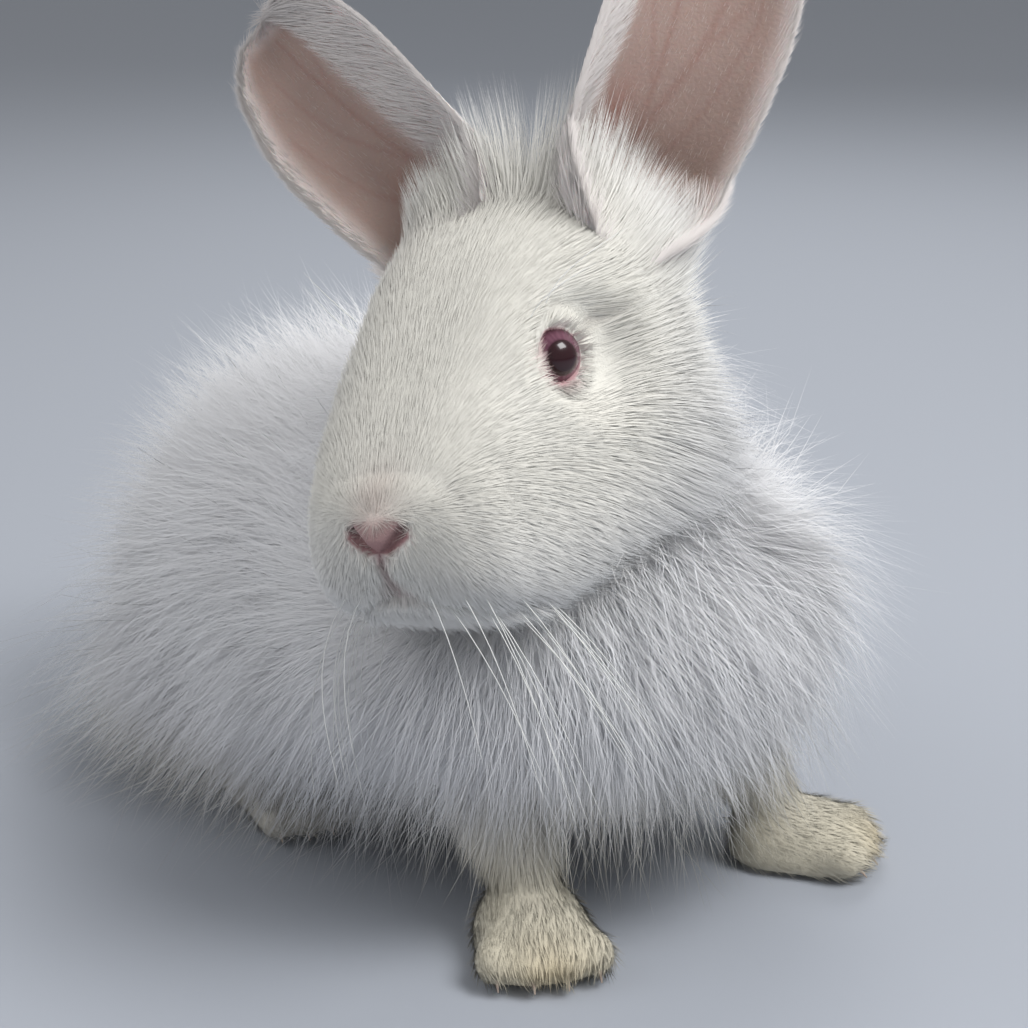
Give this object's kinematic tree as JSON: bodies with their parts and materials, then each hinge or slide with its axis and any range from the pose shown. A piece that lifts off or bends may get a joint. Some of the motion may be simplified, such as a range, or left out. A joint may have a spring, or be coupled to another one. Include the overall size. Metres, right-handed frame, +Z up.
{
  "type": "angora rabbit",
  "caption": "Life-size still model of a white angora rabbit with pink eyes, up on its front paws with its head turned to its right, ears raised.",
  "frame": {"origin": "on the floor, under the middle of the animal's bounding box", "axes": "+Z up; the body faces -Y; +X is the animal's left"},
  "size_m": [0.2356, 0.3434, 0.3176],
  "materials": {
    "wool": "long, soft white angora wool, slightly cool, in overlapping locks",
    "fur": "short, dense, slightly shiny cream-white fur",
    "ear_skin": "thin pinkish skin under fine short white hair",
    "eye": "wet, glossy, ruby pink eye with a dark red pupil"
  },
  "bodies": {
    "root": {"head": "fur", "chest": "wool", "torso": "wool", "rump": "wool", "haunch_left": "wool", "haunch_right": "wool", "tail": "wool", "ear_left": "ear_skin", "ear_right": "ear_skin", "eye_left": "eye", "eye_right": "eye", "foreleg_left": "fur", "foreleg_right": "fur", "front_paw_left": "fur", "front_paw_right": "fur", "hind_foot_left": "fur", "hind_foot_right": "fur"}
  },
  "joints": []
}
